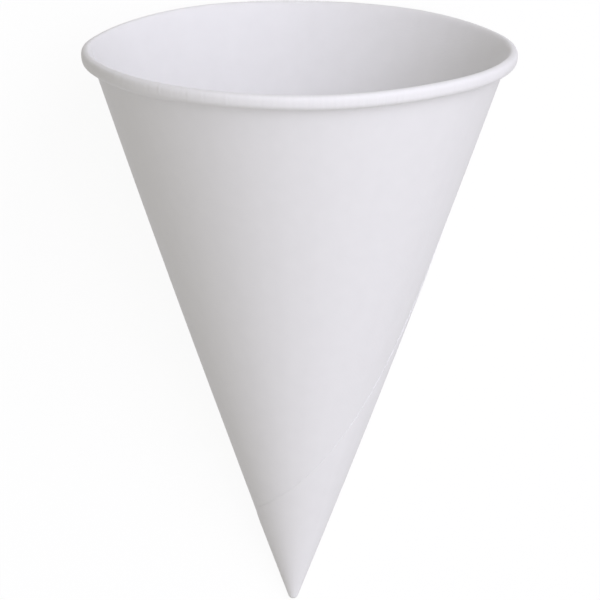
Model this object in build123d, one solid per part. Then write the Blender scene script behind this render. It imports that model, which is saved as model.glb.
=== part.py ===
from build123d import *

import os
from math import acos, asin, atan2, cos, degrees, hypot, radians, sin, tan

# A paper cone cup with a rolled rim. One paper blank is wound into a cone, about one and a half
# times round at the rim, glued where it laps, and its top edge is rolled outwards into a hollow bead.
# The cup is modelled upright on the Z axis with its point down. Then it is laid on its side,
# resting on its rim and its point, with the doubled side of the wall underneath.

# Driving dimensions, in millimetres and degrees
rim_diameter = 73.0  # over the rolled rim
side_angle = 19.92  # from the cup's axis to its side
paper_thickness = 0.18  # one ply
tip_radius = 0.75  # inside of the rounded point
roll_width = 1.7  # section of the rolled rim, square to the wall
roll_height = 2.3  # section of the rolled rim, along the wall
roll_gap = 0.12  # from the roll's cut edge to the doubled wall
seam_offset = 17.5  # from the cone's point to the blank's straight cut, on the flat blank
seam_at_rim = 11.4  # azimuth at which the outer cut edge reaches the rim
lap_end = 176.0  # azimuth of the inner cut edge, which runs straight down the wall
ramp_angle = 6.0  # turn in which the outer ply comes down past the inner cut edge
ramp_stop = 0.6  # the inner cut edge ends this far below the rolled rim
lap_top = 0.4  # the outer ply ends this far below the roll's start, hidden in the roll
roll_flats = 8  # the roll's inside face, which nothing shows, is made of this many flats
rest_flat = 0.08  # depth of the flat spots on the rim and the point, where the cup lies

# Section of the cup in the XZ plane: a rounded point, a straight side and a rolled rim, which
# meet tangentially, so each ply is the same line at another depth from the inside face.
side_up = Vector(sin(radians(side_angle)), 0, cos(radians(side_angle)))
side_out = Vector(side_up.Z, 0, -side_up.X)
half_width = roll_width / 2
half_height = roll_height / 2
tip_outside = tip_radius + 2 * paper_thickness
tip_centre = Vector(0, 0, tip_outside)
roll_reach = hypot(half_width * side_out.X, half_height * side_up.X)  # level, from its centre
side_length = (rim_diameter / 2 - roll_reach - (tip_radius + half_width) * side_out.X) / side_up.X
roll_centre = tip_centre + side_out * (tip_radius + half_width) + side_up * side_length
roll_turn = 360 - degrees(acos(1 - (2 * paper_thickness + roll_gap) / half_width))

# The blank lies flat as a sector of this cone, so its straight cut is a spiral on the wall.
tip_slant = tip_radius / tan(radians(side_angle))  # from the cone's point up to the side
rim_slant = tip_slant + side_length
seam_nearest = seam_at_rim - degrees(acos(seam_offset / rim_slant) / side_up.X)


def wall_lines(depth, length):
    """The point's bend and the side, at a depth from the inside face of the cup."""
    down = Vector(0, 0, -1)
    ways = (down, (down + side_out).normalized(), side_out)
    start, middle, end = [tip_centre + way * (tip_radius + depth) for way in ways]
    return [ThreePointArc(start, middle, end), Line(end, end + side_up * length)]


def roll_line(depth):
    """The rolled rim from the top of the side to its cut edge, at a depth from the cup's inside face."""
    plane = Plane(origin=roll_centre, x_dir=-side_out, z_dir=(0, 1, 0))
    return Edge.make_ellipse(half_width - depth, half_height - depth, plane, 0, roll_turn)


def roll_inside():
    """The inside face of the roll, a ply in from its outside."""
    smooth = roll_line(paper_thickness)
    return Polyline(*[smooth @ (step / roll_flats) for step in range(roll_flats + 1)]).edges()


def between(inner, outer):
    """The face between two lines, each a list of edges that follow on."""
    ends = [Line(inner[0] @ 0, outer[0] @ 0), Line(inner[-1] @ 1, outer[-1] @ 1)]
    return make_face(inner + outer + ends)


def on_side(slant, depth, azimuth):
    """A place on the side, by its slant distance from the cone's point."""
    place = tip_centre + side_out * (tip_radius + depth) + side_up * (slant - tip_slant)
    return place.rotate(Axis.Z, azimuth)


def seam_slant(azimuth):
    """Slant distance of the straight cut from the cone's point, at an azimuth."""
    return seam_offset / cos(radians(azimuth - seam_nearest) * side_up.X)


def past_the_seam():
    """Everything above the outer cut edge, from the foot of the ramp round to the rim."""
    first = lap_end - 360 + 1.3 * ramp_angle
    last = seam_at_rim + 4
    steps = 36
    azimuths = [first + (last - first) * step / steps for step in range(steps + 1)]
    depths = (-paper_thickness, rim_diameter / 2)
    curves = [Edge.make_spline([on_side(seam_slant(a), depth, a) for a in azimuths]) for depth in depths]
    return Solid.extrude(Face.make_surface_from_curves(*curves), Vector(0, 0, 2 * rim_slant))


def along_the_ramp(part_ways, face_depth, beyond, top_slant):
    """A cutter with one side on a face of the outer ply as it comes down from the inner cut edge.

    The face lies face_depth from the inside of the cup at the top of the ramp, and a ply nearer
    at its foot. The cutter runs from it to the depth beyond, and up the wall to top_slant.
    """
    sections = []
    for part_way in part_ways:
        azimuth = lap_end + ramp_angle * part_way
        foot_slant = seam_slant(azimuth - 360) + paper_thickness
        depth = face_depth - paper_thickness * part_way
        corners = [(foot_slant, depth), (top_slant, depth), (top_slant, beyond), (foot_slant, beyond)]
        sections.append(Wire.make_polygon([on_side(*corner, azimuth) for corner in corners]))
    return Solid.make_loft(sections, ruled=True)


def upright_cup():
    """The cup on the Z axis, point down."""
    inside = wall_lines(0, side_length) + [roll_line(0)]
    inner_ply = revolve(between(inside, wall_lines(paper_thickness, side_length) + roll_inside()), Axis.Z)
    lapped = [wall_lines(plies * paper_thickness, side_length - lap_top) for plies in (0.5, 2)]
    outer_ply = revolve(between(*lapped), Axis.Z)
    outer_ply -= past_the_seam()
    outer_ply -= along_the_ramp(
        (-0.25, 0.25, 0.75, 1.25, 1.75), 2 * paper_thickness, 6 * paper_thickness, rim_slant + 1
    )
    under_the_ramp = along_the_ramp(
        (0, 0.5, 1.3), paper_thickness, -6 * paper_thickness, rim_slant - ramp_stop
    )
    return inner_ply + outer_ply - under_the_ramp


def laid_down(cup):
    """The cup on its side, on its rim and its point, with its mouth towards +Y."""
    rim_from_tip = roll_centre - tip_centre
    lean = atan2(rim_from_tip.X, rim_from_tip.Z) + asin((half_width - tip_outside) / rim_from_tip.length)
    lying = cup.rotate(Axis.X, degrees(lean) - 90)
    bottom = lying.bounding_box().min.Z + rest_flat
    lying = split(lying, Plane.XY.offset(bottom), keep=Keep.TOP)
    box = lying.bounding_box()
    return lying.translate(Vector(-box.center().X, -box.center().Y, -bottom))


os.makedirs("parts", exist_ok=True)
cup = laid_down(upright_cup())
export_step(cup, "parts/cup.step")
print("cup", cup.volume, cup.bounding_box().size)
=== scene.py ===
from math import acos, asin, atan2, copysign, cos, degrees, hypot, pi, radians, sin, tan

import bmesh
import bpy
from mathutils import Matrix, Vector


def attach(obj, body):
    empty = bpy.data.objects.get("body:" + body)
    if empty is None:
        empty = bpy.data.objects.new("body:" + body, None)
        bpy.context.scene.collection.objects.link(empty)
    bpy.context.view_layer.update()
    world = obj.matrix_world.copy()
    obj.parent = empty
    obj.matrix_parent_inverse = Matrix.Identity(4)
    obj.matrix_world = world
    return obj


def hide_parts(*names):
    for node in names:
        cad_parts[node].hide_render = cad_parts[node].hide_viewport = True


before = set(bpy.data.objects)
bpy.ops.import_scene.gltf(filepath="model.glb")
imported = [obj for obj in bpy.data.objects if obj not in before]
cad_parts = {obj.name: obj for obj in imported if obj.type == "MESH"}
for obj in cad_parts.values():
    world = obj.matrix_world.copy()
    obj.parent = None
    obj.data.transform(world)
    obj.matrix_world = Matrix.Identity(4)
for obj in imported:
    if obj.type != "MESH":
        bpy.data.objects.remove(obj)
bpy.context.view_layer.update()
print("the packed cup is loaded")

bpy.context.scene.view_settings.view_transform = "Standard"

millimetre = 0.001  # in metres, which Blender works in

# The cup, in millimetres and degrees. A flat paper blank is cut, given its thickness and wound
# into a cone, as the real one is. The cone stands on its point until it is laid down.
cup = {
    "rimDiameter": 72.95,
    "sideAngle": 20.03,       # from the cup's axis to its side
    "sideBow": 0.45,          # the side bows out this far halfway up
    "ply": 0.17,              # thickness of the paper
    "plyRoom": 0.18,          # depth that each ply takes up in the wall
    "tipRadius": 0.5,         # inside of the rounded point
    "rollWidth": 1.77,        # section of the rolled rim, square to the wall
    "rollHeight": 2.5,        # and along it
    "rollTopSquare": 2.8,     # 2 is round, more is squarer
    "rollBottomSquare": 1.9,
    "rollUpright": 0.5,       # 0 leans the roll's outer face as the wall leans, 1 stands it upright
    "rollGap": 0.12,          # from the roll's cut edge to the doubled wall
    "seamOffset": 17.04,      # from the cone's point to the straight cut, on the flat blank
    "seamAtRim": 11.4,        # azimuth at which the straight cut reaches the rim
    "lapEnd": 176.0,          # azimuth of the inner cut edge
    "rampAngle": 6.0,         # turn in which the outer ply comes down past the inner one
    "rimPress": 5.0,          # near the rim the lap is pressed flat over this much turn
    "pressFrom": 4.0,         # and it starts this far below the rolled rim
    "rimDrops": {             # azimuth: how much lower the rim sits there than a true one
        -180: 0.5, -150: 0.1, -90: 0.02, -45: -0.55, -18: -0.45, 5: 0.02, 28: 0.25, 60: 0.0, 110: 0.05,
        160: 0.85, 180: 0.5,
    },
    "dropFrom": 25.0,         # a drop fades out this far below the rolled rim
    "lip": 0.65,              # over this part of the rim the end of the roll hangs down by the wall
    "lipFrom": -164.0,        # azimuths
    "lipTo": -120.0,
    "lipEase": 10.0,
    "lipStart": 0.72,         # share of the roll at which it starts to turn down
    "edgePress": 0.55,        # share of its thickness that the straight cut loses
    "edgePressWidth": 1.5,
    "pointPress": 0.3,        # and how much more near the point
    "pointPressTo": 18.3,     # so far from the point, and easing off
    "pointPressEase": 1.5,
    "restFlat": 0.08,         # the rim and the point are flattened this far where the cup lies
    "sharpAngle": 40.0,       # the paper is shaded smooth across any lesser edge
    "turnSteps": 288,         # faces round the blank
    "tipCuts": 7,             # and cuts along its point, its side and its roll
    "sideCuts": 64,
    "rollCuts": 44,
}

# The section of the cup, in the plane of its axis: x outwards, y up the axis
sideAngle = radians(cup["sideAngle"])
sideUp = Vector((sin(sideAngle), cos(sideAngle)))
sideOut = Vector((sideUp.y, -sideUp.x))
halfWidth = cup["rollWidth"] / 2
halfHeight = cup["rollHeight"] / 2


def clamp(value):
    return min(max(value, 0), 1)


def smooth(value):
    share = clamp(value)
    return share * share * (3 - 2 * share)


def rollPlace(turn, depth):
    # round the rolled rim's section, from its centre
    power = 2 / (cup["rollTopSquare"] if sin(turn) > 0 else cup["rollBottomSquare"])
    across = -copysign(abs(cos(turn)) ** power, cos(turn)) * (halfWidth - depth)
    upward = copysign(abs(sin(turn)) ** power, sin(turn)) * (halfHeight - depth)
    upright = cup["rollUpright"] * (1 + across / halfWidth) / 2
    return sideOut * (across - upward * upright * tan(sideAngle)) + sideUp * upward


outlineTurns = range(0, 300, 2)  # degrees, from the wall over the top to the underside
rollOutline = [rollPlace(radians(turn), 0) for turn in outlineTurns]
rollReach = max(place.x for place in rollOutline)
rollOffset = cup["tipRadius"] + halfWidth
doubledWall = 2 * cup["plyRoom"]
tipOutside = cup["tipRadius"] + doubledWall
tipCentre = Vector((0, tipOutside))
sideLength = (cup["rimDiameter"] / 2 - rollReach - rollOffset * sideOut.x) / sideUp.x
rollCentre = tipCentre + sideOut * rollOffset + sideUp * sideLength
cutEdgeShare = 1 - (doubledWall + cup["rollGap"]) / halfWidth
rollTurn = 2 * pi - acos(cutEdgeShare ** (cup["rollBottomSquare"] / 2))
rollLength = rollTurn * (halfWidth + halfHeight) / 2
tipSlant = cup["tipRadius"] / tan(sideAngle)
rimSlant = tipSlant + sideLength


def sectionPlace(along, depth):
    # a place in the section: so far along the paper from the cone's point, so deep from the inside
    if along < tipSlant:
        turn = (pi / 2 - sideAngle) * along / tipSlant
        return tipCentre + Vector((sin(turn), -cos(turn))) * (cup["tipRadius"] + depth)
    if along <= rimSlant:
        share = (along - tipSlant) / sideLength
        bow = cup["sideBow"] * 4 * share * (1 - share)
        return tipCentre + sideOut * (cup["tipRadius"] + depth + bow) + sideUp * share * sideLength
    return rollCentre + rollPlace(rollTurn * (along - rimSlant) / rollLength, depth)


# The flat blank is a sector of the cone. Its straight cut becomes a spiral on the cup.
seamNearest = radians(cup["seamAtRim"]) - acos(cup["seamOffset"] / rimSlant) / sideUp.x
cutAngle = (seamNearest - radians(cup["lapEnd"])) * sideUp.x
cutOutward = Vector((cos(cutAngle), sin(cutAngle), 0))
onceRound = 2 * pi * sideUp.x
poleStart = 0.001  # the blank starts this far from the cone's point, and is closed once it is wound
tolerance = 1e-5


def cutBlank():
    # a flat sector of paper that goes round the cone twice, less what the straight cut takes off
    blank = bmesh.new()
    stops = (poleStart, tipSlant, rimSlant, rimSlant + rollLength)
    line = [blank.verts.new((along, 0, 0)) for along in stops]
    edges = [blank.edges.new(ends) for ends in zip(line, line[1:])]
    for edge, cuts in zip(edges, (cup["tipCuts"], cup["sideCuts"], cup["rollCuts"])):
        bmesh.ops.subdivide_edges(blank, edges=[edge], cuts=cuts)
    bmesh.ops.rotate(blank, verts=blank.verts[:], matrix=Matrix.Rotation(-onceRound, 3, "Z"))
    bmesh.ops.spin(
        blank, geom=blank.verts[:] + blank.edges[:], axis=(0, 0, 1), cent=(0, 0, 0),
        angle=2 * onceRound, steps=cup["turnSteps"], use_merge=False,
    )
    bmesh.ops.bisect_plane(
        blank, geom=blank.verts[:] + blank.edges[:] + blank.faces[:], dist=tolerance,
        plane_co=cutOutward * cup["seamOffset"], plane_no=cutOutward, clear_outer=True,
    )
    return blank


def giveThickness(blank):
    bmesh.ops.recalc_face_normals(blank, faces=blank.faces[:])
    sheet = blank.faces[:]
    copy = bmesh.ops.extrude_face_region(blank, geom=sheet, use_keep_orig=True)
    raised = [part for part in copy["geom"] if isinstance(part, bmesh.types.BMVert)]
    bmesh.ops.translate(blank, verts=raised, vec=(0, 0, cup["ply"]))
    bmesh.ops.recalc_face_normals(blank, faces=blank.faces[:])
    for face in blank.faces:
        face.smooth = True
    for edge in blank.edges:
        if edge.calc_face_angle(0) > radians(cup["sharpAngle"]):
            edge.smooth = False


def unrollMap(blank):
    # the flat blank is the paper's own map, in metres
    layer = blank.loops.layers.uv.new("blank")
    for face in blank.faces:
        for loop in face.loops:
            loop[layer].uv = loop.vert.co.xy * millimetre


def nearRim(along, reach):
    # nought until so far below the rolled rim, and one from there on
    return smooth((along - rimSlant) / reach + 1)


def signedDegrees(azimuth):
    # from -180 to 180
    return (degrees(azimuth) + 180) % 360 - 180


def rimDrop(azimuth):
    angle = signedDegrees(azimuth)
    marks = sorted(cup["rimDrops"])
    after = min(mark for mark in marks if mark >= angle)
    before = max(mark for mark in marks if mark <= angle)
    share = smooth((angle - before) / max(after - before, 1))
    return cup["rimDrops"][before] * (1 - share) + cup["rimDrops"][after] * share


def lipDrop(azimuth, along):
    angle = signedDegrees(azimuth)
    easeIn = smooth((angle - cup["lipFrom"]) / cup["lipEase"])
    easeOut = smooth((cup["lipTo"] - angle) / cup["lipEase"])
    reach = ((along - rimSlant) / rollLength - cup["lipStart"]) / (1 - cup["lipStart"])
    return easeIn * easeOut * cup["lip"] * smooth(reach)


def woundDepth(flat, along, turned):
    # how deep a place on the flat blank ends up, from the inside of the wall
    ramp = radians(cup["rampAngle"])
    press = radians(cup["rimPress"]) * nearRim(along, cup["pressFrom"])
    onRamp = clamp((turned + press) / ramp)             # the outer ply comes down to the inside
    endPress = clamp((turned + press - 2 * pi) / ramp)  # at the rim the inner cut edge is pressed away
    fromCut = cup["seamOffset"] - flat.dot(cutOutward)
    edge = 1 - smooth(fromCut / cup["edgePressWidth"])
    nearPoint = 1 - smooth((along - cup["pointPressTo"]) / cup["pointPressEase"])
    thinner = edge * (cup["edgePress"] + cup["pointPress"] * nearPoint)
    return flat.z * (1 - endPress) * (1 - thinner) + cup["plyRoom"] * (1 - onRamp)


def windUp(blank):
    # round the cone: outer ply first, down past the inner cut edge, then once round as inner ply
    poleVerts = []
    for vert in blank.verts:
        along = hypot(vert.co.x, vert.co.y)
        turned = atan2(vert.co.y, vert.co.x) / sideUp.x
        depth = woundDepth(vert.co, along, turned)
        if along < 2 * poleStart:
            along = 0
            poleVerts.append(vert)
        azimuth = turned + radians(cup["lapEnd"])
        drop = rimDrop(azimuth) * nearRim(along, cup["dropFrom"])
        place = sectionPlace(along, depth) - sideUp * (drop + lipDrop(azimuth, along))
        vert.co = (place.x * cos(azimuth), place.x * sin(azimuth), place.y)
    bmesh.ops.remove_doubles(blank, verts=poleVerts, dist=tolerance)
    bmesh.ops.reverse_faces(blank, faces=blank.faces[:])


# The cup lies on its rim and its point, with its mouth towards +Y
lean = 0
for place in rollOutline:
    fromTip = rollCentre + place - tipCentre
    lean = max(lean, atan2(fromTip.x, fromTip.y) - asin(tipOutside / fromTip.length))
layBack = Matrix.Rotation(lean - pi / 2, 3, "X")
lyingTip = layBack @ Vector((0, 0, tipCentre.y))
lyingRoll = [layBack @ Vector((0, *(rollCentre + place))) for place in rollOutline]
mouthReach = max(place.y for place in lyingRoll)
layDown = Vector((
    0,
    -(mouthReach + lyingTip.y - tipOutside) / 2,
    tipOutside - lyingTip.z - cup["restFlat"],
))


def lying(place):
    # a place given for the upright cup in millimetres, in the frame and in metres
    return (layBack @ Vector(place) + layDown) * millimetre


def addObject(name, data):
    added = bpy.data.objects.new(name, data)
    bpy.context.collection.objects.link(added)
    return added


def addMesh(name, shape):
    mesh = bpy.data.meshes.new(name)
    shape.to_mesh(mesh)
    shape.free()
    return addObject(name, mesh)


def makeCup():
    blank = cutBlank()
    giveThickness(blank)
    unrollMap(blank)
    windUp(blank)
    for vert in blank.verts:
        vert.co = lying(vert.co)
        vert.co.z = max(vert.co.z, 0)  # flattened where it touches
    return addMesh("paperCup", blank)


paperCup = makeCup()
print("the cup is wound:", len(paperCup.data.polygons), "faces")

paper = {
    "colour": (0.865, 0.865, 0.87, 1),
    "darkerCloudAndShade": (0.845, 0.845, 0.85, 1),     # where the sheet's cloudy formation lets less light back, and painted shade along the streaks
    "darkUpTo": 0.3,                       # value of the noise up to which it is all that darker
    "lightFrom": 0.7,                      # and from which it is all the other colour
    "cloudScale": 350.0,                   # per metre
    "cloudDetail": 3.0,
    "shadeStreakScale": 14.0,                   # per radian, streaks of painted shade along the wall, in place of the shading of faint flats that the forming cone leaves
    "shadeStreakDetail": 2.0,
    "shadeStreakShare": 0.35,
    "grainScale": (900.0, 2600.0, 900.0),  # per metre, fibres lie along the blank
    "grainDetail": 4.0,
    "grainDepth": 0.00004,                 # metres
    "grainStrength": 0.35,
    "wrinkleScale": 110.0,                 # per radian, where the paper is drawn over to make the rim
    "wrinkleDetail": 2.0,
    "wrinkleDepth": 0.0001,
    "wrinkleStrength": 0.8,
    "roughness": (0.62, 0.78),
    "specular": 0.3,
}


def addNoise(nodes, dimensions, scale, detail):
    noise = nodes.new("ShaderNodeTexNoise")
    noise.noise_dimensions = dimensions
    noise.inputs["Scale"].default_value = scale
    noise.inputs["Detail"].default_value = detail
    return noise


def addRelief(nodes, depth, strength):
    relief = nodes.new("ShaderNodeBump")
    relief.inputs["Distance"].default_value = depth
    relief.inputs["Strength"].default_value = strength
    return relief


def addMath(nodes, operation):
    node = nodes.new("ShaderNodeMath")
    node.operation = operation
    return node


def makeTurn(nodes, links, flat):
    # the angle round the cone's point, in radians
    parts = nodes.new("ShaderNodeSeparateXYZ")
    turn = addMath(nodes, "ARCTAN2")
    links.new(flat, parts.inputs["Vector"])
    links.new(parts.outputs["Y"], turn.inputs[0])
    links.new(parts.outputs["X"], turn.inputs[1])
    return turn.outputs["Value"]


def makeTint(nodes, links, flat, turn):
    # cloudy, with faint streaks of painted shade along the wall
    cloud = addNoise(nodes, "3D", paper["cloudScale"], paper["cloudDetail"])
    # painted shade: streaks round the cone that darken the tint in lines along the wall
    shadeStreak = addNoise(nodes, "1D", paper["shadeStreakScale"], paper["shadeStreakDetail"])
    shade = nodes.new("ShaderNodeMix")
    shade.inputs["Factor"].default_value = paper["shadeStreakShare"]
    tint = nodes.new("ShaderNodeValToRGB")
    ramp = tint.color_ramp
    ramp.elements[0].position = paper["darkUpTo"]
    ramp.elements[0].color = paper["darkerCloudAndShade"]
    ramp.elements[1].position = paper["lightFrom"]
    ramp.elements[1].color = paper["colour"]
    links.new(flat, cloud.inputs["Vector"])
    links.new(turn, shadeStreak.inputs["W"])
    links.new(cloud.outputs["Fac"], shade.inputs["A"])
    links.new(shadeStreak.outputs["Fac"], shade.inputs["B"])
    links.new(shade.outputs["Result"], tint.inputs["Fac"])
    return tint.outputs["Color"]


def makeGrain(nodes, links, flat):
    # fine fibres, drawn out by the mapping
    stretch = nodes.new("ShaderNodeMapping")
    stretch.inputs["Scale"].default_value = paper["grainScale"]
    grain = addNoise(nodes, "3D", 1.0, paper["grainDetail"])
    links.new(flat, stretch.inputs["Vector"])
    links.new(stretch.outputs["Vector"], grain.inputs["Vector"])
    return grain.outputs["Fac"]


def makeWrinkles(nodes, links, flat, turn):
    # lines across the rolled rim, which start where the roll does
    away = nodes.new("ShaderNodeVectorMath")
    away.operation = "LENGTH"
    onRoll = nodes.new("ShaderNodeMapRange")
    onRoll.inputs["From Min"].default_value = rimSlant * millimetre
    onRoll.inputs["From Max"].default_value = (rimSlant + halfHeight) * millimetre
    wrinkle = addNoise(nodes, "1D", paper["wrinkleScale"], paper["wrinkleDetail"])
    height = addMath(nodes, "MULTIPLY")
    links.new(flat, away.inputs[0])
    links.new(away.outputs["Value"], onRoll.inputs["Value"])
    links.new(turn, wrinkle.inputs["W"])
    links.new(wrinkle.outputs["Fac"], height.inputs[0])
    links.new(onRoll.outputs["Result"], height.inputs[1])
    return height.outputs["Value"]


def makePaper():
    # everything is laid out on the flat blank, as the fibres were before the cup was wound
    material = bpy.data.materials.new("whitePaper")
    material.use_nodes = True
    nodes = material.node_tree.nodes
    links = material.node_tree.links
    blankMap = nodes.new("ShaderNodeUVMap")
    blankMap.uv_map = "blank"
    flat = blankMap.outputs["UV"]
    turn = makeTurn(nodes, links, flat)
    grain = makeGrain(nodes, links, flat)
    fibres = addRelief(nodes, paper["grainDepth"], paper["grainStrength"])
    drawn = addRelief(nodes, paper["wrinkleDepth"], paper["wrinkleStrength"])
    dull = nodes.new("ShaderNodeMapRange")
    dull.inputs["To Min"].default_value = paper["roughness"][0]
    dull.inputs["To Max"].default_value = paper["roughness"][1]
    shader = nodes["Principled BSDF"]
    shader.inputs["Specular IOR Level"].default_value = paper["specular"]
    links.new(makeTint(nodes, links, flat, turn), shader.inputs["Base Color"])
    links.new(grain, dull.inputs["Value"])
    links.new(dull.outputs["Result"], shader.inputs["Roughness"])
    links.new(grain, fibres.inputs["Height"])
    links.new(fibres.outputs["Normal"], drawn.inputs["Normal"])
    links.new(makeWrinkles(nodes, links, flat, turn), drawn.inputs["Height"])
    links.new(drawn.outputs["Normal"], shader.inputs["Normal"])
    return material


paperCup.data.materials.append(makePaper())
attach(paperCup, "root")
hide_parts("cup")
print("the cup has its paper")

# The floor and the light that comes from all round, in metres
room = {
    "floorSize": 3.0,
    "floorColour": (0.8, 0.8, 0.8, 1),
    "floorGlow": 0.93,                   # how much of the floor that the camera sees is plain white
    "worldColour": (1.0, 0.96, 0.84, 1),
    "worldStrength": 0.36,
    "white": (1, 1, 1, 1),               # what the camera sees of both
}


def clearTree(owner):
    owner.use_nodes = True
    owner.node_tree.nodes.clear()
    return owner.node_tree.nodes, owner.node_tree.links


def seenWhite(nodes, links):
    # one for the camera and for what shines or lets light through, nought for the light itself
    ray = nodes.new("ShaderNodeLightPath")
    shiny = addMath(nodes, "MAXIMUM")
    either = addMath(nodes, "MAXIMUM")
    links.new(ray.outputs["Is Glossy Ray"], shiny.inputs[0])
    links.new(ray.outputs["Is Transmission Ray"], shiny.inputs[1])
    links.new(ray.outputs["Is Camera Ray"], either.inputs[0])
    links.new(shiny.outputs["Value"], either.inputs[1])
    return either.outputs["Value"]


def makeFloor():
    ground = bmesh.new()
    bmesh.ops.create_grid(ground, x_segments=1, y_segments=1, size=room["floorSize"] / 2)
    floor = addMesh("floor", ground)
    material = bpy.data.materials.new("floorWhite")
    nodes, links = clearTree(material)
    output = nodes.new("ShaderNodeOutputMaterial")
    lit = nodes.new("ShaderNodeBsdfDiffuse")
    lit.inputs["Color"].default_value = room["floorColour"]
    shaded = nodes.new("ShaderNodeBsdfDiffuse")
    shaded.inputs["Color"].default_value = room["white"]
    glow = nodes.new("ShaderNodeEmission")
    glow.inputs["Color"].default_value = room["white"]
    seen = nodes.new("ShaderNodeMixShader")
    seen.inputs[0].default_value = room["floorGlow"]
    choose = nodes.new("ShaderNodeMixShader")
    links.new(shaded.outputs[0], seen.inputs[1])
    links.new(glow.outputs[0], seen.inputs[2])
    links.new(seenWhite(nodes, links), choose.inputs[0])
    links.new(lit.outputs[0], choose.inputs[1])
    links.new(seen.outputs[0], choose.inputs[2])
    links.new(choose.outputs[0], output.inputs["Surface"])
    floor.data.materials.append(material)


def makeWorld():
    world = bpy.data.worlds.new("studio")
    bpy.context.scene.world = world
    nodes, links = clearTree(world)
    output = nodes.new("ShaderNodeOutputWorld")
    light = nodes.new("ShaderNodeBackground")
    light.inputs["Color"].default_value = room["worldColour"]
    light.inputs["Strength"].default_value = room["worldStrength"]
    white = nodes.new("ShaderNodeBackground")
    white.inputs["Color"].default_value = room["white"]
    choose = nodes.new("ShaderNodeMixShader")
    links.new(seenWhite(nodes, links), choose.inputs[0])
    links.new(light.outputs[0], choose.inputs[1])
    links.new(white.outputs[0], choose.inputs[2])
    links.new(choose.outputs[0], output.inputs["Surface"])


makeFloor()
makeWorld()

# The camera, in millimetres and degrees about the upright cup: what it looks at, from how far and
# from how high
view = {
    "target": (0.62, 0, 52.12),
    "distance": 1500.0,
    "elevation": 14.44,
    "roll": -0.62,
    "clipEnd": 10000.0,
    "lens": 536.2,
    "sensor": 36.0,
}

# Each lamp's direction from the upright cup, in degrees: round from its right and up from its rim's
# level, with the camera at -90. Distance and size are in metres.
lamps = {
    "high": {
        "azimuth": -58, "elevation": 35, "distance": 1.0, "size": 0.75, "power": 5.6,
        "colour": (0.875, 0.87, 1.0),
    },
    "low": {
        "azimuth": -75, "elevation": 5, "distance": 1.0, "size": 0.5, "power": 3.1,
        "colour": (0.875, 0.87, 1.0),
    },
}


def makeLamp(name, values):
    light = bpy.data.lights.new(name, "AREA")
    light.shape = "DISK"
    light.size = values["size"]
    light.energy = values["power"]
    light.color = values["colour"]
    lamp = addObject(name, light)
    azimuth = radians(values["azimuth"])
    elevation = radians(values["elevation"])
    upright = Vector((cos(azimuth) * cos(elevation), sin(azimuth) * cos(elevation), sin(elevation)))
    away = layBack @ upright
    lamp.location = lying(view["target"]) + away * values["distance"]
    lamp.rotation_euler = away.to_track_quat("Z", "Y").to_euler()


def makeCamera():
    tilt = radians(view["elevation"])
    roll = radians(view["roll"])
    away = Vector((0, -cos(tilt), sin(tilt)))
    level = Vector((1, 0, 0))
    up = Vector((0, sin(tilt), cos(tilt)))
    right = level * cos(roll) - up * sin(roll)
    rolledUp = level * sin(roll) + up * cos(roll)
    data = bpy.data.cameras.new("camera")
    data.sensor_width = view["sensor"]
    data.lens = view["lens"]
    data.clip_end = view["clipEnd"] * millimetre
    camera = addObject("camera", data)
    turn = Matrix((layBack @ right, layBack @ rolledUp, layBack @ away)).transposed().to_4x4()
    place = lying(Vector(view["target"]) + away * view["distance"])
    camera.matrix_world = Matrix.Translation(place) @ turn
    bpy.context.scene.camera = camera


for lampName, lampValues in lamps.items():
    makeLamp(lampName, lampValues)
makeCamera()
print("the stage is set")
